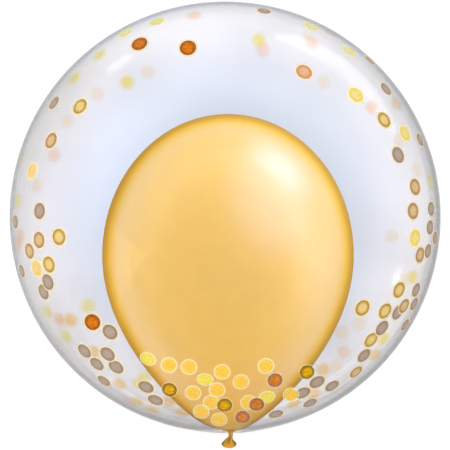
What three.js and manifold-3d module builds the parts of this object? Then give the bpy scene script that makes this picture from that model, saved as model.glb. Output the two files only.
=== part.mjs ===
// Double-layer confetti balloon lying loose on its side: a clear film bubble blown up round a gold latex balloon.
// Millimetres, +Z up. The origin is the middle of the small flat spot that the bubble rests on.
// Both balloons lie along Y: their domes point to +Y, and the gold neck leaves the bubble's mouth at -Y.
// Both are sealed and full, so each is modelled solid, and the bubble has a pocket that the gold balloon fills.
import * as THREE from "three";
import { mergeVertices } from "three/addons/utils/BufferGeometryUtils.js";
import Module from "manifold-3d";

const wasm = await Module();
wasm.setup();

// Driving dimensions of the clear bubble
const BUBBLE_DIAMETER = 510;
const FLAT_SPOT_DIAMETER = 80;

// Driving dimensions of the gold balloon
const BALLOON_DIAMETER = 298;
const BALLOON_DOME = 167; // from the widest ring to the top of the dome
const BALLOON_TAPER = 209; // from the widest ring to the tip in the mouth
const TAPER_PINCH = 0.345; // how far the lower half draws in from an ellipse to a pear
const BALLOON_SIDE_STEP = 3.4; // the balloon sits this far to +X of the bubble's axis
const TIP_BELOW_SKIN = 1.1; // the tip stops this far inside the bubble's skin

// Driving dimensions of the neck that stands out of the mouth
const STEM_DIAMETER = 6;
const STEM_WAIST = 5; // where the stem meets the flare
const STEM_LENGTH = 7.5;
const FLARE_LENGTH = 10;
const FLARE_SWELL = 0.85; // under 1, the flare's sides swell outwards from a plain cone
const FLARE_DROOP = THREE.MathUtils.degToRad(24); // the flared end hangs towards the floor
const LIP_DIAMETER = 17.6;
const LIP_BEAD = 2.2; // thickness of the rolled lip
const MOUTH_DEPTH = 7;

// The pocket in the bubble is this much larger all round than the balloon in it
const SKIN_GAP = 0.5;

// Facets
const BUBBLE_SEGMENTS = 60;
const BUBBLE_RINGS = 28;
const BALLOON_SEGMENTS = 44;
const DOME_STEPS = 11;
const TAPER_STEPS = 15;
const NECK_SEGMENTS = 24;
const FLARE_STEPS = 6;
const BEAD_STEPS = 8;
const BEAD_TURN = 1.25 * Math.PI; // the bead is round from inside the mouth to the flare's outer wall
const WELD = 1e-4; // vertices nearer than this are one

// Worked out from the driving dimensions, with Y measured from the bubble's middle
const bubbleRadius = BUBBLE_DIAMETER / 2;
const balloonRadius = BALLOON_DIAMETER / 2;
const axisHeight = Math.sqrt(bubbleRadius ** 2 - (FLAT_SPOT_DIAMETER / 2) ** 2);
const tipY = TIP_BELOW_SKIN - bubbleRadius;
const widestY = tipY + BALLOON_TAPER;
const stemEndY = tipY - STEM_LENGTH;
const stemRadius = STEM_DIAMETER / 2;
const waistRadius = STEM_WAIST / 2;
const beadRadius = LIP_BEAD / 2;
const lipRadius = LIP_DIAMETER / 2 - beadRadius;

const point = (radius, y) => new THREE.Vector2(radius, y);

// A closed geometry as a solid that can be joined and cut
function solidOf(geometry) {
  const bare = new THREE.BufferGeometry();
  bare.setAttribute("position", geometry.getAttribute("position"));
  bare.setIndex(geometry.getIndex());
  const welded = mergeVertices(bare, WELD);
  const mesh = new wasm.Mesh({
    numProp: 3,
    vertProperties: new Float32Array(welded.getAttribute("position").array),
    triVerts: new Uint32Array(welded.getIndex().array),
  });
  return new wasm.Manifold(mesh);
}

// A solid back as a geometry with flat facets
function geometryOf(solid) {
  const mesh = solid.getMesh();
  const shared = new THREE.BufferGeometry();
  shared.setAttribute("position", new THREE.BufferAttribute(mesh.vertProperties, 3));
  shared.setIndex(new THREE.BufferAttribute(mesh.triVerts, 1));
  const facets = shared.toNonIndexed();
  facets.computeVertexNormals();
  return facets;
}

// The full ball of the clear bubble
function bubbleBall() {
  const profile = [point(0, -bubbleRadius)];
  for (let i = 1; i < BUBBLE_RINGS; i++) {
    const rise = Math.PI * (i / BUBBLE_RINGS - 0.5);
    profile.push(point(bubbleRadius * Math.cos(rise), bubbleRadius * Math.sin(rise)));
  }
  profile.push(point(0, bubbleRadius));
  return new THREE.LatheGeometry(profile, BUBBLE_SEGMENTS);
}

// Everything below the floor, which leaves the flat spot when it is cut away
function belowTheFloor() {
  const slab = new THREE.BoxGeometry(BUBBLE_DIAMETER, BUBBLE_DIAMETER, bubbleRadius);
  return slab.translate(0, 0, -axisHeight - bubbleRadius / 2);
}

// The gold pear from its tip to the top of its dome, grown by a margin, on top of the given stem profile
function pear(stemProfile, margin) {
  const profile = [...stemProfile];
  const steepest = Math.acos((stemRadius / balloonRadius) / (1 - TAPER_PINCH));
  for (let i = TAPER_STEPS; i > 0; i--) {
    const slope = (steepest * i) / TAPER_STEPS;
    const pinch = 1 - TAPER_PINCH * Math.sin(slope) ** 2;
    const y = widestY - (BALLOON_TAPER + margin) * Math.sin(slope);
    profile.push(point(balloonRadius * Math.cos(slope) * pinch + margin, y));
  }
  for (let i = 0; i < DOME_STEPS; i++) {
    const rise = (Math.PI / 2) * (i / DOME_STEPS);
    const y = widestY + (BALLOON_DOME + margin) * Math.sin(rise);
    profile.push(point((balloonRadius + margin) * Math.cos(rise), y));
  }
  profile.push(point(0, widestY + BALLOON_DOME + margin));
  return new THREE.LatheGeometry(profile, BALLOON_SEGMENTS);
}

// The flared end of the neck below the stem's waist, with a rolled lip and an open mouth
function flare() {
  const profile = [point(0, MOUTH_DEPTH - FLARE_LENGTH)];
  for (let i = 0; i <= BEAD_STEPS; i++) {
    const turn = Math.PI + (BEAD_TURN * i) / BEAD_STEPS;
    const y = beadRadius * (1 + Math.sin(turn)) - FLARE_LENGTH;
    profile.push(point(lipRadius + beadRadius * Math.cos(turn), y));
  }
  for (let i = FLARE_STEPS - 1; i >= 0; i--) {
    const along = i / FLARE_STEPS;
    const radius = waistRadius + (lipRadius - waistRadius) * along ** FLARE_SWELL;
    profile.push(point(radius, (LIP_BEAD - FLARE_LENGTH) * along));
  }
  profile.push(point(0, waistRadius));
  const turned = new THREE.LatheGeometry(profile, NECK_SEGMENTS);
  return turned.rotateX(FLARE_DROOP).translate(0, stemEndY, 0);
}

function goldBalloon() {
  const stem = [point(0, stemEndY), point(waistRadius, stemEndY), point(stemRadius, (tipY + stemEndY) / 2)];
  return solidOf(pear(stem, 0)).add(solidOf(flare()));
}

// The hollow that the gold balloon fills, with its stem run out through the bubble's skin
function pocket() {
  const mouthRadius = stemRadius + SKIN_GAP;
  const stem = [point(0, stemEndY), point(mouthRadius, stemEndY)];
  return solidOf(pear(stem, SKIN_GAP).translate(BALLOON_SIDE_STEP, 0, 0));
}

function clearBubble() {
  return solidOf(bubbleBall()).subtract(solidOf(belowTheFloor())).subtract(pocket());
}

const film = new THREE.MeshStandardMaterial({
  color: 0xe3e8f5,
  roughness: 0.06,
  metalness: 0,
  transparent: true,
  opacity: 0.25,
});
const goldLatex = new THREE.MeshStandardMaterial({ color: 0xe8b860, roughness: 0.38, metalness: 0.3 });

function piece(name, solid, material, sideStep) {
  const mesh = new THREE.Mesh(geometryOf(solid), material);
  mesh.name = name;
  mesh.position.x = sideStep;
  return mesh;
}

const balloons = new THREE.Group();
balloons.position.z = axisHeight;
balloons.add(piece("clear_bubble", clearBubble(), film, 0));
balloons.add(piece("gold_balloon", goldBalloon(), goldLatex, BALLOON_SIDE_STEP));

const confettiBalloon = new THREE.Group();
confettiBalloon.add(balloons);
export default confettiBalloon;
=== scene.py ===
# Looks of a double-layer confetti balloon: printed clear film round a gold latex balloon.
import math
import random
from collections import namedtuple

import bmesh
import bpy
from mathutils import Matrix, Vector


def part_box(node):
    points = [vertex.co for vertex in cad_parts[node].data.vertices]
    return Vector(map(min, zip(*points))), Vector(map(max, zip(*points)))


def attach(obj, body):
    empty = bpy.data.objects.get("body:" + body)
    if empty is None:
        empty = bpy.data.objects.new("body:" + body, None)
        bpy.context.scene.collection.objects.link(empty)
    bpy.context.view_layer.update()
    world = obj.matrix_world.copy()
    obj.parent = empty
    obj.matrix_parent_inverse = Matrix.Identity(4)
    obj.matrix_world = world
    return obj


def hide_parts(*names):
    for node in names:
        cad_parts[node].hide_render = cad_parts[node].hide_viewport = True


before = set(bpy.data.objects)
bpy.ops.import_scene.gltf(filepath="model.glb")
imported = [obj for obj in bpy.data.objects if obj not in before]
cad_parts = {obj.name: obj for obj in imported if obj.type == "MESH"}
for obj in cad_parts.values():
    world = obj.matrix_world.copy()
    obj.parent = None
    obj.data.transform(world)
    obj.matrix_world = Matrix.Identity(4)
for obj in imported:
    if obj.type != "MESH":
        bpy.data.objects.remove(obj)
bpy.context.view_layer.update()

# Sizes in metres, read from the two CAD nodes
film_low, film_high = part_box("clear_bubble")
gold_low, gold_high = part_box("gold_balloon")
BUBBLE_RADIUS = (film_high.x - film_low.x) / 2
MIDDLE = Vector((0, film_high.y - BUBBLE_RADIUS, film_high.z - BUBBLE_RADIUS))
GOLD_RADIUS = (gold_high.x - gold_low.x) / 2
GOLD_MIDDLE_X = (gold_high.x + gold_low.x) / 2
GOLD_HEIGHT = gold_high.z - GOLD_RADIUS

# The gold balloon's pear shape, with the CAD's own dimensions
GOLD_DOME = 0.167
GOLD_TAPER = 0.209
TAPER_PINCH = 0.345
WIDEST_Y = gold_high.y - GOLD_DOME
TIP_Y = WIDEST_Y - GOLD_TAPER
TAUT_RADIUS = 0.13  # from this radius up the body's latex is fully stretched
GOLD_SEGMENTS = 96
DOME_STEPS = 48
TAPER_STEPS = 72

# The neck that stands out of the mouth
STEM_RADIUS = 0.003
WAIST_RADIUS = 0.0025
STEM_LENGTH = 0.0075
STEM_STEPS = 12
FLARE_LENGTH = 0.010
FLARE_SWELL = 0.85
FLARE_STEPS = 14
FLARE_DROOP = math.radians(24)
DROOP_STEPS = 24
BEAD_RADIUS = 0.0011
BEAD_FROM = 0.25  # in half turns: the rolled lip starts on the flare's outer wall
BEAD_TURN = 1.25  # and goes this far round, into the mouth
BEAD_STEPS = 12
LIP_RADIUS = 0.0088 - BEAD_RADIUS  # to the middle of the bead
MOUTH_DEPTH = 0.007
MOUTH_STEPS = 12

# How the neck hangs and leans, by distances past the tip
DROOP_START, DROOP_END = STEM_LENGTH / 2, STEM_LENGTH * 1.2
NECK_LEAN = 0.0032  # to +X
LEAN_START = -0.010
BACK_START, BACK_END = 0.7 * STEM_LENGTH, 1.5 * STEM_LENGTH
LEAN_BACK = 0.6  # the share of the lean that the flare takes back

# Creases in the slack neck: a deep one on top, and shallow puckers all round, that fade out down the flare
FOLD_DEPTH = 0.45
FOLD_FADE = (0.2, 0.85)
CREASE_TURN = math.radians(98)
CREASE_SHARPNESS = 16
PUCKERS = 5
PUCKER_TURN = 0.6
PUCKER_SHARPNESS = 3
PUCKER_SHARE = 0.45

# The clear film, gathered into pleats towards the mouth
FILM_WALL = 0.0006
MOUTH_RADIUS = 0.0036
FILM_SEGMENTS = 192
FILM_RINGS = 112
PLEATS = 26
PLEAT_DEPTH = 0.0007
PLEAT_REACH = math.radians(13)
PLEAT_FADE = 8  # the higher, the nearer to the mouth the pleats flatten out again

# The printed dots, which stand off the film in levels, with foil inks above the others
DOT_RADIUS = 0.0096
DOT_THICKNESS = 0.00018
DOT_SIDES = 18
DOT_RINGS = 2
DOT_LIFT = 0.00008
LIFT_STEP = 0.00003
LIFT_LEVELS = 5
FOIL_LIFT = 0.0003

# A dot's size as a share of the cluster's, which shrinks on the sides from flat film to the rim
SIDE_SCALE = 1.27
RIM_SCALE = 0.55
RIM_GROWTH = 0.87
FAR_SCALE = 1.4

# How long a dot is printed down the film, for film that lies flat, and the most that it is
CLUSTER_LENGTH, CLUSTER_LONGEST = 0.97, 2.7
SIDE_LENGTH, SIDE_LONGEST = 1.08, 1.8
SIDE_GROWTH = -0.3
FAR_LENGTH, FAR_LONGEST = 0.9, 1.7

# The share of a dot's radius that is solid ink, inside the pale ring
CLUSTER_CORE = {"yellow": 0.74, "lemon": 0.74, "ochre": 0.84, "copper": 0.84}
SIDE_CORE = 0.72
FAR_CORE = 0.78

# Dots that the gold balloon hides, at degrees from the neck drawn as least, most and likeliest
HIDDEN_DOTS = 36
HIDDEN_SEED = 7
HIDDEN_SPREAD = (18, 140, 36)
HIDDEN_GAP = 1.8 * DOT_RADIUS

# The photograph's frame: the bubble's middle and radius, and the picture's width, in pixels
PHOTO_WIDTH = 450
BUBBLE_PX = (225.1, 217.1)
BUBBLE_RADIUS_PX = 215.8

# The camera looks straight down from this far above the bubble's middle
CAMERA_RISE = 3.0
SENSOR_MM = 36.0
PX_MM = SENSOR_MM / PHOTO_WIDTH
LENS_MM = BUBBLE_RADIUS_PX * PX_MM * math.sqrt(CAMERA_RISE**2 - BUBBLE_RADIUS**2) / BUBBLE_RADIUS
PX_AT_MIDDLE = PX_MM * CAMERA_RISE / LENS_MM
CAMERA_PLACE = MIDDLE + Vector((
    (PHOTO_WIDTH / 2 - BUBBLE_PX[0]) * PX_AT_MIDDLE,
    (BUBBLE_PX[1] - PHOTO_WIDTH / 2) * PX_AT_MIDDLE,
    CAMERA_RISE,
))

# Inks as (heart, edge), in the steps of a screen
SCREEN_STEPS = 255
INKS = {
    "yellow": ((255, 196, 80), (246, 206, 70)),
    "lemon": ((242, 214, 105), (234, 224, 50)),
    "ochre": ((230, 168, 0), (150, 112, 5)),
    "copper": ((218, 130, 26), (172, 106, 78)),
    "orange": ((214, 118, 4), (160, 88, 28)),
    "taupe": ((181, 157, 136), (154, 130, 116)),
    "tan": ((218, 182, 129), (172, 130, 92)),
    "straw": ((230, 198, 124), (178, 142, 66)),
    "peach": ((241, 201, 137), (232, 203, 118)),
    "salmon": ((226, 173, 126), (202, 143, 104)),
    "cream": ((236, 216, 140), (238, 205, 96)),
    "moss": ((226, 220, 160), (222, 212, 126)),
}
INK_SHADE = 0.92

# How much of an ink's colour is left when it is seen from behind
USUAL_BEHIND = 0.72
INK_BEHIND = {"peach": 0.32, "taupe": 0.66, "tan": 0.56, "moss": 0.85}

# Foil inks are fully speckled, the others less, and some inks are printed shorter or longer than the rest
FOIL_INKS = ("ochre", "copper", "orange")
PLAIN_SPECKLE = 0.35
INK_LENGTH = {"lemon": 0.8, "orange": 1.2}

# Where each ink shows in the photograph, in its pixels: over the gold, on the sides, and on the far wall
CLUSTER_DOTS = {
    "lemon": [(148, 359), (205, 379.5), (267, 397)],
    "yellow": [(169, 365), (189, 367), (222, 372), (241, 382), (266, 366), (193, 393), (217, 390),
               (211, 402.5), (201, 412), (219, 420), (248.6, 402.5), (291, 395)],
    "ochre": [(307, 372), (169.5, 389.5), (224.6, 405)],
    "copper": [(275, 380), (242.6, 417), (256.7, 404.4)],
}
SIDE_DOTS = {
    "orange": [(139.6, 44), (188, 48), (92.6, 322)],
    "salmon": [(304, 72)],
    "cream": [(356, 95), (405, 133.5), (415, 238)],
    "moss": [(311, 26.5), (349, 51), (157, 21.5), (125, 33)],
    "straw": [(80, 106.5), (59, 237), (384, 120), (362.5, 308), (371, 340), (385, 311), (399, 290),
              (49, 264.5)],
    "tan": [(51, 140.6), (39, 240), (29.5, 251), (415, 187), (413, 211), (420, 255), (356, 372),
            (404, 306)],
    "peach": [(32, 171), (37, 268.5)],
    "taupe": [(54, 103), (39.5, 211), (15.5, 222), (22, 271), (48, 282), (43.5, 292), (110, 332),
              (84.5, 351), (107.6, 354), (97, 364), (116, 367), (104, 381), (146, 387), (155.5, 400),
              (264, 11), (370, 60.5), (386, 89), (420, 140), (398, 155), (431, 209), (430, 227.5),
              (435, 238), (428, 251), (416, 290), (414, 304), (397.5, 312.5), (405, 325), (382, 328),
              (364, 355.5), (317, 382), (332, 386), (302.5, 393), (310, 403), (276, 414)],
}
FAR_DOTS = {
    "lemon": [(127, 82), (259, 40), (413, 277), (384, 339), (99, 55), (74, 78)],
    "moss": [(17, 201), (20, 160), (47, 312), (66, 336.5), (139, 384), (88, 306), (144, 378),
             (431, 181.5)],
    "straw": [(94, 352), (120, 384), (152, 410), (169, 402), (323, 370), (314, 394), (294, 404), (71, 320),
              (375, 355), (182, 412.5), (137, 402)],
    "tan": [(59, 319), (194, 15), (330, 32), (372, 107), (396, 104), (18, 245), (20, 236)],
    "peach": [(147.5, 71.5), (66.7, 120.5), (97, 94), (37, 186), (309, 37), (324, 82), (399, 140),
              (417, 170), (359.5, 324), (342.5, 332), (336, 366.5), (404, 280), (65, 322), (392, 236.5)],
    "taupe": [(54, 155), (263, 49.5), (312, 44), (344, 352.5), (127, 401)],
}

# The colour that changes nothing where it is multiplied in
WHITE = (1, 1, 1, 1)

# Film seen face-on has a little blue tint, deepened as painted cool shade, and seen edge-on it has painted
# grey shade: least at the dome, most low on the right
FILM_HUE = ((0.00, (0.88, 0.92, 1.0)), (0.20, (0.885, 0.93, 1.0)), (0.32, (0.925, 0.945, 1.0)),
            (0.42, (0.955, 0.96, 1.0)), (0.62, (0.98, 0.975, 1.0)), (0.80, (1.0, 1.0, 1.0)))
SIDE_PAINTED_SHADE = ((0.20, 0.985), (0.32, 0.955), (0.42, 0.93), (0.56, 0.865), (0.66, 0.81), (0.72, 0.775),
             (0.78, 0.69), (0.84, (0.50, 0.51, 0.53)), (0.90, (0.252, 0.26, 0.275)),
             (1.00, (0.117, 0.12, 0.127)))
DOME_PAINTED_SHADE = ((0.20, 0.985), (0.32, 0.955), (0.42, 0.96), (0.56, 0.945), (0.66, 0.89), (0.72, 0.80),
             (0.78, (0.72, 0.74, 0.775)), (0.84, (0.51, 0.53, 0.585)), (0.90, (0.24, 0.26, 0.30)),
             (1.00, (0.11, 0.12, 0.138)))
LOW_PAINTED_SHADE = ((0.20, 0.985), (0.32, 0.985), (0.42, 0.955), (0.56, 0.895), (0.68, 0.82), (0.71, 0.67),
            (0.78, 0.57), (0.84, 0.42), (0.90, 0.26), (1.00, 0.12))
LOW_RIGHT = (0.66, -0.75, 0)

# The film has painted shade on its left, is a little glossy outside, and nearly clear to the light of
# lamps
LEFT_PAINTED_SHADE = (0.965, 0.955, 0.94, 1)
FILM_GLOSS = 0.15
LAMP_TINT = (0.985, 0.985, 0.99, 1)

# The gold tip's outline, in bubble radii: its half width at the neck, how fast it widens, and its blur
TIP_START = 0.03
TIP_SPREAD = 1.3
TIP_BLUR = 0.04

# Stretched latex from face-on to edge-on, with painted light on its flanks and painted shade at its edge,
# and the slack latex of the neck, which is deeper, has painted shade at its edges and little pearl
BODY_GOLD_WITH_PAINTED_LIGHT = ((0.00, (0.84, 0.45, 0.054)), (0.20, (0.94, 0.51, 0.052)), (0.62, (0.95, 0.515, 0.055)),
             (0.69, (0.88, 0.47, 0.055)), (0.76, (0.72, 0.37, 0.05)), (0.90, (0.63, 0.30, 0.035)))
NECK_GOLD_WITH_PAINTED_SHADE = ((0.00, (0.66, 0.36, 0.045)), (0.28, (0.50, 0.25, 0.025)), (0.58, (0.22, 0.095, 0.006)))
NECK_PEARL = 0.05
# Painted shade in the neck's creases
FOLD_SHADE = (0.42, 0.34, 0.22, 1)

# The pale ring round a dot's ink, which is crisp in the cluster and soft elsewhere, and its stain of ink
CRISP_RING = (1.0, 0.92, 0.70, 1)
SOFT_RING = (1.0, 0.82, 0.40, 1)
RING_STAIN = 0.28

# The room: its brightest wall, the light of its walls and ceiling, and the middle and light of its window
BRIGHT_WALL = (0.15, 0.86, 0)
DIM_LIGHT, BRIGHT_LIGHT = 0.5, 1.45
CEILING_LIGHT = 0.52
ROOM_COLOUR = (0.96, 1.0, 1.06, 1)
WINDOW = (0.60, 0.60, 0.53)
WINDOW_LIGHT = 1.55
WINDOW_COLOUR = (0.55, 0.70, 1.15, 1)

# Lamps as (name, place, size, watts, colour): for everything, for the gold balloon and for the film
ROOM_LAMPS = (
    ("overhead", (0, 0, 5), (3.6, 3.6), 190, (1.0, 1.0, 0.99)),
    ("fill", (-1.5, -0.5, 0.7), (1.2, 1.2), 3.6, (1.0, 1.0, 0.99)),
)
GOLD_CARDS = (
    ("key", (1.05, 1.40, 0.20), (1.25, 0.50), 22.0, (1.0, 0.57, 1.12)),
    ("right_strip", (1.8, 0.05, 0.50), (2.3, 0.75), 19.0, (1.0, 0.76, 1.05)),
    ("left_strip", (-1.75, 0.50, 0.2), (2.8, 0.50), 14.0, (1.0, 0.97, 0.95)),
)
GOLD_FILL = ("gold_fill", (-1.15, -0.6, 0.15), (0.6, 0.6), 3.6, (1.0, 0.92, 0.75))
FILM_CARDS = (
    ("upper_card", (0.45, 0.536, 0.105), (0.66, 0.20), 2.1, (1.0, 0.95, 0.90)),
    ("upper_glow", (0.514, 0.613, 0.205), (0.95, 0.42), 3.4, (1.0, 0.95, 0.90)),
    ("right_card", (0.983, -0.339, 0.080), (0.10, 0.12), 0.48, (1.0, 1.0, 1.0)),
    ("left_card", (-0.468, 0.682, 0.105), (0.15, 0.12), 0.42, (1.0, 1.0, 1.0)),
)

# The floor's half width, and how far it lies below the balloon
FLOOR_REACH = 15.0
FLOOR_DROP = 0.0004


def smooth_step(start, end, value):
    """A smooth rise from 0 to 1 as the value goes from start to end."""
    share = min(max((value - start) / (end - start), 0.0), 1.0)
    return share * share * (3 - 2 * share)


def linear(colour):
    """A colour in the steps of a screen as linear light."""
    shares = [value / SCREEN_STEPS for value in colour]
    return [s / 12.92 if s <= 0.04045 else ((s + 0.055) / 1.055) ** 2.4 for s in shares]


def add_piece(name, mesh, material):
    piece = bpy.data.objects.new(name, mesh)
    bpy.context.scene.collection.objects.link(piece)
    mesh.materials.append(material)
    return piece


def skin(name, rings):
    """A smooth closed mesh through rings of points, with a single point at each end."""
    shape = bmesh.new()
    loops = [[shape.verts.new(p) for p in ring] for ring in rings]
    for near, far in zip(loops, loops[1:]):
        for i in range(len(near)):
            j = (i + 1) % len(near)
            shape.faces.new((near[i], near[j], far[j], far[i]))
    for loop, turn in ((loops[0], 1), (loops[-1], -1)):
        pole = shape.verts.new(sum((v.co for v in loop), Vector()) / len(loop))
        for i in range(len(loop)):
            j = (i + 1) % len(loop)
            shape.faces.new((pole, loop[j], loop[i])[::turn])
    for face in shape.faces:
        face.smooth = True
    bmesh.ops.recalc_face_normals(shape, faces=shape.faces)
    mesh = bpy.data.meshes.new(name)
    shape.to_mesh(mesh)
    shape.free()
    return mesh


def store_values(mesh, name, values):
    """Gives each point of a mesh a number that its material can read."""
    layer = mesh.attributes.new(name, "FLOAT", "POINT")
    layer.data.foreach_set("value", values)


def store_colours(mesh, name, colours):
    """Gives each point of a mesh a colour that its material can read."""
    layer = mesh.attributes.new(name, "FLOAT_COLOR", "POINT")
    layer.data.foreach_set("color", [value for colour in colours for value in (*colour, 1.0)])


# Materials


def new_material(name):
    material = bpy.data.materials.new(name)
    material.use_nodes = True
    tree = material.node_tree
    return material, tree, tree.nodes["Principled BSDF"]


def feed(tree, node, **values):
    """Sets inputs of a node: a plain value, or another node's output to link."""
    for name, value in values.items():
        socket = node.inputs[name.replace("_", " ")]
        if isinstance(value, bpy.types.NodeSocket):
            tree.links.new(value, socket)
        else:
            socket.default_value = value


def step(tree, value, start, end, low=0.0, high=1.0):
    """A smooth step from low to high as the value goes from start to end."""
    node = tree.nodes.new("ShaderNodeMapRange")
    node.interpolation_type = "SMOOTHSTEP"
    feed(tree, node, Value=value, From_Min=start, From_Max=end, To_Min=low, To_Max=high)
    return node.outputs["Result"]


def mix(tree, kind, factor, first, second, blend="MIX"):
    """The first number or colour where the factor is 0, and the second, or their blend, where it is 1."""
    node = tree.nodes.new("ShaderNodeMix")
    node.data_type = kind
    if kind == "RGBA":
        node.blend_type = blend
    feed(tree, node, Factor=factor, A=first, B=second)
    return node.outputs["Result"]


def multiply(tree, first, second):
    return mix(tree, "RGBA", 1.0, first, second, "MULTIPLY")


def ramp(tree, value, stops):
    """A colour ramp through (position, colour or grey) stops."""
    node = tree.nodes.new("ShaderNodeValToRGB")
    elements = node.color_ramp.elements
    elements.remove(elements[1])
    for i, (position, shade) in enumerate(stops):
        element = elements.new(position) if i else elements[0]
        element.position = position
        element.color = (*shade, 1) if isinstance(shade, tuple) else (shade, shade, shade, 1)
    feed(tree, node, Fac=value)
    return node.outputs["Color"]


def along(tree, direction, space="Object"):
    """How far a place lies in a direction, by default in metres of the balloon's own frame."""
    node = tree.nodes.new("ShaderNodeVectorMath")
    node.operation = "DOT_PRODUCT"
    node.inputs[1].default_value = direction
    tree.links.new(tree.nodes.new("ShaderNodeTexCoord").outputs[space], node.inputs[0])
    return node.outputs["Value"]


def across_bubble(tree, direction):
    """How far a place lies in a direction, in bubble radii."""
    return along(tree, [part / BUBBLE_RADIUS for part in direction])


def mottle_group():
    """Blotches that all the skins share: Spread is how many lie to the metre in each direction."""
    group = bpy.data.node_groups.new("mottle", "ShaderNodeTree")
    for name in ("Place", "Spread"):
        group.interface.new_socket(name, in_out="INPUT", socket_type="NodeSocketVector")
    for name in ("Detail", "Softness", "Low", "High"):
        group.interface.new_socket(name, in_out="INPUT", socket_type="NodeSocketFloat")
    group.interface.new_socket("Shade", in_out="OUTPUT", socket_type="NodeSocketFloat")
    given = group.nodes.new("NodeGroupInput").outputs
    spacing = group.nodes.new("ShaderNodeMapping")
    feed(group, spacing, Vector=given["Place"], Scale=given["Spread"])
    noise = group.nodes.new("ShaderNodeTexNoise")
    feed(group, noise, Vector=spacing.outputs["Vector"], Scale=1.0, Detail=given["Detail"])
    bounds = []
    for operation in ("SUBTRACT", "ADD"):
        bound = group.nodes.new("ShaderNodeMath")
        bound.operation = operation
        bound.inputs[0].default_value = 0.5
        group.links.new(given["Softness"], bound.inputs[1])
        bounds.append(bound.outputs["Value"])
    shade = step(group, noise.outputs["Fac"], *bounds, given["Low"], given["High"])
    group.links.new(shade, group.nodes.new("NodeGroupOutput").inputs["Shade"])
    return group


def mottle(tree, spread, detail, softness, low, high):
    """Blotches from low to high on one skin."""
    node = tree.nodes.new("ShaderNodeGroup")
    node.node_tree = bpy.data.node_groups.get("mottle") or mottle_group()
    place = tree.nodes.new("ShaderNodeTexCoord").outputs["Object"]
    feed(tree, node, Place=place, Spread=spread, Detail=detail, Softness=softness, Low=low, High=high)
    return node.outputs["Shade"]


def edge_on(tree):
    """0 where the skin is looked at face-on and 1 where it is looked along."""
    node = tree.nodes.new("ShaderNodeLayerWeight")
    feed(tree, node, Blend=0.5)
    return node.outputs["Facing"]


def attribute(tree, name, output):
    node = tree.nodes.new("ShaderNodeAttribute")
    node.attribute_name = name
    return node.outputs[output]


def show_either(tree, factor, first, second):
    """The first shader where the factor is 0 and the second where it is 1."""
    either = tree.nodes.new("ShaderNodeMixShader")
    tree.links.new(factor, either.inputs["Fac"])
    tree.links.new(first.outputs["BSDF"], either.inputs[1])
    tree.links.new(second.outputs["BSDF"], either.inputs[2])
    tree.links.new(either.outputs["Shader"], tree.nodes["Material Output"].inputs["Surface"])


def clinging(tree):
    """1 where the film lies close over the gold balloon's narrow end, and 0 clear of it."""
    masks = []
    for side in (-1, 1):
        past_gold = across_bubble(tree, (side, -TIP_SPREAD, 0))
        edge = TIP_SPREAD + TIP_START + side * (GOLD_MIDDLE_X + NECK_LEAN / 2) / BUBBLE_RADIUS
        masks.append(step(tree, past_gold, edge - TIP_BLUR, edge, 1.0, 0.0))
    near_tip = step(tree, across_bubble(tree, (0, -1, 0)), 0.70, 0.85)
    return multiply(tree, multiply(tree, masks[0], masks[1]), near_tip)


def clear_film():
    """Clear glossy film: a little blue, with painted grey shade where it is looked along and on its left,
    and streaky near the neck.
    """
    material, tree, shader = new_material("clear_film")
    facing = edge_on(tree)
    dome = step(tree, across_bubble(tree, (0, 1, 0)), 0.55, 0.98)
    low = step(tree, across_bubble(tree, LOW_RIGHT), -0.45, 0.65)
    left = step(tree, across_bubble(tree, (-1, 0, 0)), 0.50, 0.80)
    # Painted grey shade where the film is looked along: the side's, the dome's and the one low on the
    # right
    grey = mix(tree, "RGBA", dome, ramp(tree, facing, SIDE_PAINTED_SHADE), ramp(tree, facing, DOME_PAINTED_SHADE))
    grey = mix(tree, "RGBA", low, grey, ramp(tree, facing, LOW_PAINTED_SHADE))
    # Painted shade on the film's left side
    grey = multiply(tree, grey, mix(tree, "RGBA", left, WHITE, LEFT_PAINTED_SHADE))
    near_neck = step(tree, across_bubble(tree, (0, -1, 0)), 0.35, 0.9)
    looked_along = step(tree, facing, 0.35, 0.65)
    streaks = mottle(tree, spread=(14, 14, 70), detail=3.0, softness=0.14, low=0.90, high=1.06)
    streaked = mix(tree, "RGBA", multiply(tree, near_neck, looked_along), WHITE, streaks)
    clings = clinging(tree)
    shade = mix(tree, "RGBA", clings, multiply(tree, grey, streaked), WHITE)
    from_inside = tree.nodes.new("ShaderNodeNewGeometry").outputs["Backfacing"]
    outside = mix(tree, "FLOAT", from_inside, attribute(tree, "outer_wall", "Fac"), 0.0)
    gloss = mix(tree, "FLOAT", outside, 0.0, FILM_GLOSS)
    feed(
        tree,
        shader,
        Base_Color=multiply(tree, ramp(tree, facing, FILM_HUE), shade),
        Roughness=mottle(tree, spread=(9, 9, 9), detail=2.0, softness=0.15, low=0.015, high=0.04),
        Metallic=0.0,
        Transmission_Weight=1.0,
        IOR=1.03,
        Coat_Weight=mix(tree, "FLOAT", clings, gloss, 0.0),
        Coat_Roughness=0.14,
        Coat_IOR=1.5,
    )
    for_lamps = tree.nodes.new("ShaderNodeBsdfTransparent")
    feed(tree, for_lamps, Color=LAMP_TINT)
    lamp_ray = tree.nodes.new("ShaderNodeLightPath").outputs["Is Shadow Ray"]
    show_either(tree, lamp_ray, shader, for_lamps)
    return material


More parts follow.
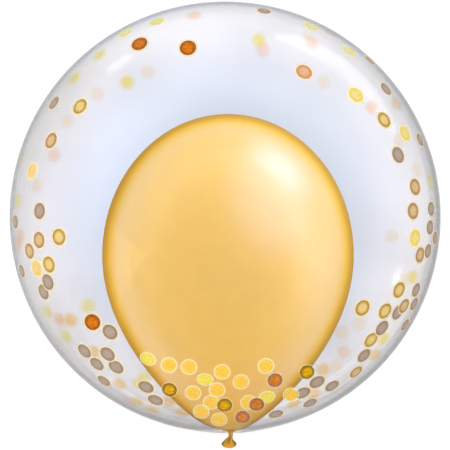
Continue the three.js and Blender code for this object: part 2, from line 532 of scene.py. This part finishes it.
def gold_latex():
    """Pearly gold latex, deeper in the slack folded neck, with painted shade in its creases and where it
    turns away, and painted light on the body's flanks.
    """
    material, tree, shader = new_material("gold_latex")
    facing = edge_on(tree)
    stretch = attribute(tree, "stretch", "Fac")
    # Painted light on the body's flanks and painted shade where the latex turns away, on the body and the
    # neck
    gold = mix(tree, "RGBA", stretch, ramp(tree, facing, NECK_GOLD_WITH_PAINTED_SHADE), ramp(tree, facing, BODY_GOLD_WITH_PAINTED_LIGHT))
    # Painted shade in the neck's creases
    crease_shade = mix(tree, "RGBA", attribute(tree, "fold", "Fac"), WHITE, FOLD_SHADE)
    blotches = mottle(tree, spread=(55, 55, 55), detail=4.0, softness=0.2, low=0.965, high=1.0)
    body_pearl = step(tree, facing, 0.50, 0.70, 1.0, 0.0)
    feed(
        tree,
        shader,
        Base_Color=multiply(tree, multiply(tree, gold, crease_shade), blotches),
        Metallic=0.0,
        Roughness=0.5,
        Specular_IOR_Level=0.0,
        Coat_Weight=mix(tree, "FLOAT", step(tree, stretch, 0.5, 1.0), NECK_PEARL, body_pearl),
        Coat_Roughness=0.32,
        Coat_IOR=2.2,
    )
    return material


def ink_radius(tree):
    """How far a place lies from its dot's middle: 1 at the edge of the solid ink."""
    reach = tree.nodes.new("ShaderNodeVectorMath")
    reach.operation = "LENGTH"
    tree.links.new(attribute(tree, "dot_place", "Vector"), reach.inputs[0])
    share = tree.nodes.new("ShaderNodeMath")
    share.operation = "DIVIDE"
    tree.links.new(reach.outputs["Value"], share.inputs[0])
    tree.links.new(attribute(tree, "ink_core", "Fac"), share.inputs[1])
    return share.outputs["Value"]


def confetti_ink():
    """Printed dots: a core of speckled ink and a pale ring. From behind they only tint the light."""
    material, tree, shader = new_material("confetti_ink")
    radius = ink_radius(tree)
    edge = attribute(tree, "ink_edge", "Color")
    core = mix(tree, "RGBA", step(tree, radius, 0.45, 0.95), attribute(tree, "ink_heart", "Color"), edge)
    speckle = mottle(tree, spread=(430, 430, 430), detail=2.0, softness=0.12, low=0.70, high=1.14)
    foil = mix(tree, "RGBA", attribute(tree, "ink_foil", "Fac"), WHITE, speckle)
    halo = attribute(tree, "ink_halo", "Fac")
    ring = mix(tree, "RGBA", RING_STAIN, mix(tree, "RGBA", halo, CRISP_RING, SOFT_RING), edge)
    front = mix(tree, "RGBA", step(tree, radius, 1.02, 1.10), multiply(tree, core, foil), ring)
    crisp = step(tree, radius, 1.10, 1.20, 0.25, 0.62)
    soft = step(tree, radius, 1.14, 1.39, 0.85, 0.0)
    around = mix(tree, "FLOAT", halo, crisp, soft)
    cover = mix(tree, "FLOAT", step(tree, radius, 1.0, 1.06), 1.0, around)
    from_inside = tree.nodes.new("ShaderNodeNewGeometry").outputs["Backfacing"]
    feed(
        tree,
        shader,
        Base_Color=front,
        Alpha=mix(tree, "FLOAT", from_inside, cover, 0.0),
        Roughness=mottle(tree, spread=(300, 300, 300), detail=1.0, softness=0.2, low=0.38, high=0.55),
        Specular_IOR_Level=0.04,
    )
    behind = tree.nodes.new("ShaderNodeBsdfTransparent")
    blur = step(tree, radius, 0.42, 1.15, 1.0, 0.0)
    feed(tree, behind, Color=mix(tree, "RGBA", blur, WHITE, attribute(tree, "ink_behind", "Color")))
    show_either(tree, attribute(tree, "backing", "Fac"), shader, behind)
    return material


# The clear bubble


def film_point(from_neck, around, inset):
    """A point of the film, at an angle from the neck's end of the axis and another round it."""
    gather = 1 - smooth_step(0, PLEAT_REACH, from_neck)
    fold = PLEAT_DEPTH * gather * (1 - gather**PLEAT_FADE) * math.cos(PLEATS * around)
    radius = BUBBLE_RADIUS - inset - fold
    point = MIDDLE + radius * Vector((
        math.sin(from_neck) * math.cos(around),
        -math.cos(from_neck),
        math.sin(from_neck) * math.sin(around),
    ))
    point.x += (GOLD_MIDDLE_X + NECK_LEAN - MIDDLE.x) * gather
    point.z = max(point.z, inset)
    return point


def film_wall(inset):
    """Rings of points from the mouth to just short of the dome's top."""
    first = MOUTH_RADIUS / BUBBLE_RADIUS
    for i in range(FILM_RINGS):
        from_neck = first + (math.pi - first) * i / FILM_RINGS
        yield [film_point(from_neck, math.tau * j / FILM_SEGMENTS, inset) for j in range(FILM_SEGMENTS)]


def clear_bubble(material):
    """The film's outer and inner walls, joined round the mouth."""
    outer, inner = list(film_wall(0)), list(film_wall(FILM_WALL))
    mesh = skin("clear_film", outer[::-1] + inner)
    wall = FILM_RINGS * FILM_SEGMENTS
    store_values(mesh, "outer_wall", wall * [1.0] + wall * [0.0] + [1.0, 0.0])
    return add_piece("clear_film", mesh, material)


# The gold balloon


def taper_radius(fall):
    """The body's radius at an angle that goes from 0 at its widest ring to a right angle at its tip."""
    return GOLD_RADIUS * math.cos(fall) * (1 - TAPER_PINCH * math.sin(fall) ** 2)


def pear_profile():
    """(distance past the tip, radius) from the dome down to the tip, with distances below 0."""
    for i in range(1, DOME_STEPS + 1):
        rise = math.pi / 2 * (1 - i / DOME_STEPS)
        yield TIP_Y - WIDEST_Y - GOLD_DOME * math.sin(rise), GOLD_RADIUS * math.cos(rise)
    for i in range(1, TAPER_STEPS + 1):
        fall = math.pi / 2 * i / TAPER_STEPS
        yield GOLD_TAPER * (math.sin(fall) - 1), math.hypot(taper_radius(fall), STEM_RADIUS)


def neck_profile():
    """The same on down the stem, out along the flare, round the rolled lip and up into the mouth."""
    end = STEM_LENGTH + FLARE_LENGTH
    for i in range(1, STEM_STEPS + 1):
        share = i / STEM_STEPS
        yield STEM_LENGTH * share, STEM_RADIUS + (WAIST_RADIUS - STEM_RADIUS) * smooth_step(0, 1, share)
    for i in range(1, FLARE_STEPS):
        share = i / FLARE_STEPS
        radius = WAIST_RADIUS + (LIP_RADIUS - WAIST_RADIUS) * share**FLARE_SWELL
        yield STEM_LENGTH + (FLARE_LENGTH - 2 * BEAD_RADIUS) * share, radius
    for i in range(BEAD_STEPS + 1):
        turn = math.pi * (BEAD_FROM - BEAD_TURN * i / BEAD_STEPS)
        yield end - BEAD_RADIUS * (1 + math.sin(turn)), LIP_RADIUS + BEAD_RADIUS * math.cos(turn)
    for i in range(1, MOUTH_STEPS):
        share = i / MOUTH_STEPS
        distance = end - BEAD_RADIUS - (MOUTH_DEPTH - BEAD_RADIUS) * share
        yield distance, (LIP_RADIUS - BEAD_RADIUS) * (1 - share)


def gold_spine(distance):
    """(middle of the ring, its up direction) at a distance past the tip, with the flare hanging down."""
    middle = Vector((GOLD_MIDDLE_X, TIP_Y - min(distance, 0.0), GOLD_HEIGHT))
    droop = 0.0
    if distance > 0:
        for i in range(DROOP_STEPS):
            droop = FLARE_DROOP * smooth_step(DROOP_START, DROOP_END, distance * i / DROOP_STEPS)
            middle += Vector((0, -math.cos(droop), -math.sin(droop))) * distance / DROOP_STEPS
    lean = smooth_step(LEAN_START, 0.0, distance)
    back = LEAN_BACK * smooth_step(BACK_START, BACK_END, distance)
    middle.x += NECK_LEAN * (lean - back)
    return middle, Vector((0, -math.sin(droop), math.cos(droop)))


def neck_fold(distance, around):
    """How far a place on the slack neck lies down in a crease, from 0 to 1."""
    down_flare = (distance - STEM_LENGTH) / FLARE_LENGTH
    slack = smooth_step(0, STEM_LENGTH, distance) * (1 - smooth_step(*FOLD_FADE, down_flare))
    deep = max(0.0, math.cos(around - CREASE_TURN)) ** CREASE_SHARPNESS
    shallow = PUCKER_SHARE * max(0.0, math.cos(PUCKERS * around + PUCKER_TURN)) ** PUCKER_SHARPNESS
    return slack * max(deep, shallow)


def neck_stretch(distance, radius):
    """How tightly the latex is blown up: 1 on the body, half at the tip and 0 down the stem."""
    if distance > 0:
        return 0.5 - 0.5 * smooth_step(0, STEM_LENGTH / 2, distance)
    if distance > -GOLD_TAPER:
        return 0.5 + 0.5 * smooth_step(STEM_RADIUS, TAUT_RADIUS, radius)
    return 1.0


def gold_balloon(material):
    """The body and the neck as one closed skin, which stores where it is stretched and creased."""
    rings, stretches, folds = [], [], []
    for distance, radius in [*pear_profile(), *neck_profile()]:
        middle, up = gold_spine(distance)
        ring = []
        for j in range(GOLD_SEGMENTS):
            around = math.tau * j / GOLD_SEGMENTS
            fold = neck_fold(distance, around)
            reach = radius * (1 - FOLD_DEPTH * fold)
            ring.append(middle + reach * (math.cos(around) * Vector((1, 0, 0)) + math.sin(around) * up))
            folds.append(fold)
            stretches.append(neck_stretch(distance, radius))
        rings.append(ring)
    mesh = skin("gold_skin", rings)
    store_values(mesh, "stretch", stretches + [1.0, 0.0])
    store_values(mesh, "fold", folds + [0.0, 1.0])
    return add_piece("gold_skin", mesh, material)


# The printed confetti dots

# A dot's place and ink, its scale and stretch, its share of solid ink, and how soft its ring is
Dot = namedtuple("Dot", "place ink scale stretch core halo")


def on_film(px, py, far):
    """Where the camera's ray through a pixel meets the film, on its near or its far wall."""
    ray = Vector(((px - PHOTO_WIDTH / 2) * PX_MM, (PHOTO_WIDTH / 2 - py) * PX_MM, -LENS_MM)).normalized()
    to_middle = CAMERA_PLACE - MIDDLE
    half = ray.dot(to_middle)
    inside = max(half**2 - to_middle.length_squared + BUBBLE_RADIUS**2, 0.0)
    reach = -half + math.sqrt(inside) * (1 if far else -1)
    return MIDDLE + (to_middle + ray * reach).normalized() * BUBBLE_RADIUS


def gold_radius(y):
    """The gold balloon's radius where its body crosses y, and 0 past its ends."""
    if y > WIDEST_Y:
        return GOLD_RADIUS * math.sqrt(max(1 - ((y - WIDEST_Y) / GOLD_DOME) ** 2, 0.0))
    return taper_radius(math.asin(min((WIDEST_Y - y) / GOLD_TAPER, 1.0)))


def hidden_dots():
    """More dots on the far wall, behind the gold balloon, thick near the neck as on the near side."""
    draw = random.Random(HIDDEN_SEED)
    inks = list(INKS)
    placed = []
    while len(placed) < HIDDEN_DOTS:
        from_neck = math.radians(draw.triangular(*HIDDEN_SPREAD))
        place = film_point(from_neck, draw.uniform(math.pi, math.tau), 0)
        behind = abs(place.x - GOLD_MIDDLE_X) < gold_radius(place.y) - DOT_RADIUS
        spaced = all((place - other).length > HIDDEN_GAP for other in placed)
        if behind and spaced and place.z > DOT_RADIUS:
            placed.append(place)
            yield place, draw.choice(inks)


def flatness(place):
    """1 where the film lies flat to the camera above, and 0 where it stands upright."""
    return abs((place - MIDDLE).normalized().z)


def cluster_stretch(place):
    """Dots near the neck are long enough to look round from above, as they do in the photograph."""
    return min(CLUSTER_LENGTH / flatness(place), CLUSTER_LONGEST)


def side_stretch(place):
    """Dots on the sides are stretched a little, more the steeper the film."""
    return min(SIDE_LENGTH * flatness(place) ** SIDE_GROWTH, SIDE_LONGEST)


def far_stretch(place):
    """Dots on the far wall are long enough to look nearly round, up to a limit."""
    return min(FAR_LENGTH / flatness(place), FAR_LONGEST)


def side_scale(place):
    """Dots on the sides are larger than the cluster's, less so near the rim."""
    return SIDE_SCALE * min(RIM_SCALE + RIM_GROWTH * flatness(place), 1.0)


def dot_places():
    """Every dot: the cluster over the gold, the sides, the far wall, and those behind the gold."""
    for ink, places in CLUSTER_DOTS.items():
        length = INK_LENGTH.get(ink, 1)
        for px, py in places:
            place = on_film(px, py, False)
            yield Dot(place, ink, 1.0, cluster_stretch(place) * length, CLUSTER_CORE[ink], 0.0)
    for ink, places in SIDE_DOTS.items():
        length = INK_LENGTH.get(ink, 1)
        for px, py in places:
            place = on_film(px, py, False)
            yield Dot(place, ink, side_scale(place), side_stretch(place) * length, SIDE_CORE, 1.0)
    for ink, places in FAR_DOTS.items():
        for px, py in places:
            place = on_film(px, py, True)
            yield Dot(place, ink, FAR_SCALE, far_stretch(place), FAR_CORE, 1.0)
    for place, ink in hidden_dots():
        yield Dot(place, ink, 1.0, cluster_stretch(place), FAR_CORE, 1.0)


def printed(colour):
    """An ink's colour as it dries, a shade deeper than it looks in the studio's light."""
    return [INK_SHADE * share for share in linear(colour)]


def seen_from_behind(ink):
    """The tint that an ink gives to light which comes through it."""
    heart, edge = INKS[ink]
    colour = [a + b for a, b in zip(linear(heart), linear(edge))]
    left = INK_BEHIND.get(ink, USUAL_BEHIND)
    return [1 - left * (1 - share / max(colour)) for share in colour]


def dot_lift(turn, ink):
    """How far a dot stands off the film, in levels that keep overlapping dots apart."""
    return DOT_LIFT + LIFT_STEP * (turn % LIFT_LEVELS) + FOIL_LIFT * (ink in FOIL_INKS)


def dot_points():
    """A bare mesh with one point for each dot, which carries its ink, scale and lift."""
    dots = list(dot_places())
    mesh = bpy.data.meshes.new("dot_points")
    mesh.from_pydata([dot.place for dot in dots], [], [])
    store_colours(mesh, "ink_heart", [printed(INKS[dot.ink][0]) for dot in dots])
    store_colours(mesh, "ink_edge", [printed(INKS[dot.ink][1]) for dot in dots])
    store_colours(mesh, "ink_behind", [seen_from_behind(dot.ink) for dot in dots])
    scales = mesh.attributes.new("dot_scale", "FLOAT_VECTOR", "POINT")
    sizes = [(dot.scale, dot.scale * dot.stretch, 1.0) for dot in dots]
    scales.data.foreach_set("vector", [value for size in sizes for value in size])
    store_values(mesh, "ink_core", [dot.core for dot in dots])
    store_values(mesh, "ink_halo", [dot.halo for dot in dots])
    store_values(mesh, "ink_foil", [1.0 if dot.ink in FOIL_INKS else PLAIN_SPECKLE for dot in dots])
    store_values(mesh, "dot_lift", [dot_lift(turn, dot.ink) for turn, dot in enumerate(dots)])
    return mesh


def dot_tree():
    """Geometry nodes that lay a thin round dot on the bubble at each point and bend it to the film."""
    tree = bpy.data.node_groups.new("confetti_dots", "GeometryNodeTree")
    tree.interface.new_socket("Geometry", in_out="INPUT", socket_type="NodeSocketGeometry")
    for name in ("Dot radius", "Dot thickness", "Bubble radius"):
        tree.interface.new_socket(name, in_out="INPUT", socket_type="NodeSocketFloat")
    tree.interface.new_socket("Sides", in_out="INPUT", socket_type="NodeSocketInt")
    tree.interface.new_socket("Bubble middle", in_out="INPUT", socket_type="NodeSocketVector")
    tree.interface.new_socket("Ink", in_out="INPUT", socket_type="NodeSocketMaterial")
    tree.interface.new_socket("Geometry", in_out="OUTPUT", socket_type="NodeSocketGeometry")
    nodes, links = tree.nodes, tree.links
    given = nodes.new("NodeGroupInput").outputs

    def vector_maths(operation, first, second=None, scale=None):
        node = nodes.new("ShaderNodeVectorMath")
        node.operation = operation
        links.new(first, node.inputs[0])
        if second is not None:
            links.new(second, node.inputs[1])
        if scale is not None:
            links.new(scale, node.inputs["Scale"])
        return node.outputs["Vector"]

    def maths(operation, first, second):
        node = nodes.new("ShaderNodeMath")
        node.operation = operation
        for socket, value in zip(node.inputs, (first, second)):
            if isinstance(value, float):
                socket.default_value = value
            else:
                links.new(value, socket)
        return node.outputs["Value"]

    def named(name, kind):
        node = nodes.new("GeometryNodeInputNamedAttribute")
        node.data_type = kind
        feed(tree, node, Name=name)
        return node.outputs["Attribute"]

    def store(geometry, name, kind, domain, value):
        node = nodes.new("GeometryNodeStoreNamedAttribute")
        node.data_type = kind
        node.domain = domain
        feed(tree, node, Geometry=geometry, Name=name, Value=value)
        return node.outputs["Geometry"]

    # One flat dot, which remembers where on itself each point lies
    disc = nodes.new("GeometryNodeMeshCylinder")
    disc.fill_type = "TRIANGLE_FAN"
    feed(tree, disc, Fill_Segments=DOT_RINGS, Vertices=given["Sides"])
    feed(tree, disc, Radius=given["Dot radius"], Depth=given["Dot thickness"])
    spot = nodes.new("GeometryNodeInputPosition").outputs["Position"]
    parts = nodes.new("ShaderNodeSeparateXYZ")
    feed(tree, parts, Vector=spot)
    flat = nodes.new("ShaderNodeCombineXYZ")
    for axis in ("X", "Y"):
        links.new(maths("DIVIDE", parts.outputs[axis], given["Dot radius"]), flat.inputs[axis])
    height = maths("ADD", parts.outputs["Z"], maths("MULTIPLY", given["Dot thickness"], 0.5))
    shape = store(disc.outputs["Mesh"], "dot_place", "FLOAT_VECTOR", "POINT", flat.outputs["Vector"])
    shape = store(shape, "dot_height", "FLOAT", "POINT", height)
    shape = store(shape, "backing", "FLOAT", "FACE", disc.outputs["Bottom"])

    # Each dot faces out of the bubble, with its length down the film
    outward = vector_maths("SUBTRACT", spot, given["Bubble middle"])
    face_out = nodes.new("FunctionNodeAlignRotationToVector")
    face_out.axis = "Z"
    feed(tree, face_out, Vector=outward)
    lengthwise = nodes.new("FunctionNodeAlignRotationToVector")
    lengthwise.axis = "Y"
    lengthwise.pivot_axis = "Z"
    feed(tree, lengthwise, Vector=(0, 0, 1), Rotation=face_out.outputs["Rotation"])
    lay = nodes.new("GeometryNodeInstanceOnPoints")
    feed(tree, lay, Points=given["Geometry"], Instance=shape)
    feed(tree, lay, Rotation=lengthwise.outputs["Rotation"], Scale=named("dot_scale", "FLOAT_VECTOR"))
    real = nodes.new("GeometryNodeRealizeInstances")
    feed(tree, real, Geometry=lay.outputs["Instances"])

    # Bend every dot to the film
    lift = maths("ADD", named("dot_height", "FLOAT"), named("dot_lift", "FLOAT"))
    reach = maths("ADD", given["Bubble radius"], lift)
    direction = vector_maths("NORMALIZE", outward)
    bent = vector_maths("ADD", vector_maths("SCALE", direction, scale=reach), given["Bubble middle"])
    bend = nodes.new("GeometryNodeSetPosition")
    feed(tree, bend, Geometry=real.outputs["Geometry"], Position=bent)
    print_ink = nodes.new("GeometryNodeSetMaterial")
    feed(tree, print_ink, Geometry=bend.outputs["Geometry"], Material=given["Ink"])
    feed(tree, nodes.new("NodeGroupOutput"), Geometry=print_ink.outputs["Geometry"])
    return tree


def confetti_dots(material):
    """All the dots as one mesh, settled on the film by the geometry nodes."""
    carrier = bpy.data.objects.new("dot_points", dot_points())
    bpy.context.scene.collection.objects.link(carrier)
    modifier = carrier.modifiers.new("confetti_dots", "NODES")
    modifier.node_group = dot_tree()
    values = {
        "Dot radius": DOT_RADIUS,
        "Dot thickness": DOT_THICKNESS,
        "Bubble radius": BUBBLE_RADIUS,
        "Sides": DOT_SIDES,
        "Bubble middle": MIDDLE,
        "Ink": material,
    }
    for item in modifier.node_group.interface.items_tree:
        if item.in_out == "INPUT" and item.name in values:
            modifier[item.identifier] = values[item.name]
    settled = carrier.evaluated_get(bpy.context.evaluated_depsgraph_get())
    mesh = bpy.data.meshes.new_from_object(settled)
    bpy.data.objects.remove(carrier)
    mesh.name = "confetti_dots"
    mesh.materials.clear()
    return add_piece("confetti_dots", mesh, material)


# Floor, light and camera


def pale_floor():
    mesh = bpy.data.meshes.new("floor")
    signs = ((-1, -1), (1, -1), (1, 1), (-1, 1))
    corners = [(x * FLOOR_REACH, y * FLOOR_REACH, -FLOOR_DROP) for x, y in signs]
    mesh.from_pydata(corners, [], [(0, 1, 2, 3)])
    material, tree, shader = new_material("pale_floor")
    feed(tree, shader, Base_Color=(0.95, 0.95, 0.95, 1), Roughness=0.9, Specular_IOR_Level=0.1)
    add_piece("floor", mesh, material)


def white_room():
    """A white room, brightest towards the domes, with a window that shows only in gloss."""
    world = bpy.data.worlds.new("studio")
    world.use_nodes = True
    tree = world.node_tree
    walls = tree.nodes.new("ShaderNodeMapRange")
    towards = along(tree, BRIGHT_WALL, "Generated")
    feed(tree, walls, Value=towards, From_Min=-1.0, To_Min=DIM_LIGHT, To_Max=BRIGHT_LIGHT)
    rise = step(tree, along(tree, (0, 0, 1), "Generated"), 0.0, 0.8)
    brightness = mix(tree, "FLOAT", rise, walls.outputs["Result"], CEILING_LIGHT)
    room_light = tree.nodes["Background"]
    feed(tree, room_light, Color=ROOM_COLOUR, Strength=brightness)
    pane = step(tree, along(tree, WINDOW, "Generated"), 0.70, 0.98, 0.0, WINDOW_LIGHT)
    glossy_ray = tree.nodes.new("ShaderNodeLightPath").outputs["Is Glossy Ray"]
    window_light = tree.nodes.new("ShaderNodeBackground")
    feed(tree, window_light, Color=WINDOW_COLOUR, Strength=mix(tree, "FLOAT", glossy_ray, 0.0, pane))
    both = tree.nodes.new("ShaderNodeAddShader")
    tree.links.new(room_light.outputs["Background"], both.inputs[0])
    tree.links.new(window_light.outputs["Background"], both.inputs[1])
    tree.links.new(both.outputs["Shader"], tree.nodes["World Output"].inputs["Surface"])
    world.cycles.sampling_method = "NONE"
    bpy.context.scene.world = world


def softbox(name, place, size, watts, colour):
    """A rectangular lamp that faces the balloon and doesn't itself show behind it."""
    lamp = bpy.data.lights.new(name, "AREA")
    lamp.shape = "RECTANGLE"
    lamp.size, lamp.size_y = size
    lamp.energy = watts
    lamp.color = colour
    light = bpy.data.objects.new(name, lamp)
    light.location = place
    light.rotation_mode = "QUATERNION"
    light.rotation_quaternion = (MIDDLE - Vector(place)).to_track_quat("-Z", "Y")
    light.visible_camera = False
    light.visible_transmission = False
    bpy.context.scene.collection.objects.link(light)
    return light


def shine_only_on(light, piece):
    """Lets a lamp reach one piece only."""
    reached = bpy.data.collections.new(light.name + "_reach")
    reached.objects.link(piece)
    light.light_linking.receiver_collection = reached


def glint(card, piece):
    """An oval softbox that only shows as a reflection on one piece."""
    light = softbox(*card)
    light.data.shape = "ELLIPSE"
    light.visible_diffuse = False
    shine_only_on(light, piece)


def studio_light(film, gold):
    """A white room with lamps that don't show in gloss, and low cards round the balloon that do."""
    white_room()
    for lamp in ROOM_LAMPS:
        light = softbox(*lamp)
        light.visible_glossy = False
    for card in GOLD_CARDS:
        glint(card, gold)
    gold_fill = softbox(*GOLD_FILL)
    gold_fill.visible_glossy = False
    shine_only_on(gold_fill, gold)
    for card in FILM_CARDS:
        glint(card, film)


def camera_above():
    lens = bpy.data.cameras.new("camera")
    lens.sensor_width = SENSOR_MM
    lens.lens = LENS_MM
    camera = bpy.data.objects.new("camera", lens)
    camera.location = CAMERA_PLACE
    bpy.context.scene.collection.objects.link(camera)
    bpy.context.scene.camera = camera


def picture():
    scene = bpy.context.scene
    scene.view_settings.view_transform = "Standard"
    scene.cycles.use_denoising = True
    scene.cycles.max_bounces = 20
    scene.cycles.transmission_bounces = 16
    scene.cycles.transparent_max_bounces = 24


camera_above()
film = clear_bubble(clear_film())
gold = gold_balloon(gold_latex())
dots = confetti_dots(confetti_ink())
for piece, slot in ((film, "clear_film"), (gold, "gold_latex"), (dots, "confetti_ink")):
    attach(piece, "root")
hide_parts("clear_bubble")
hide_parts("gold_balloon")
pale_floor()
studio_light(film, gold)
picture()
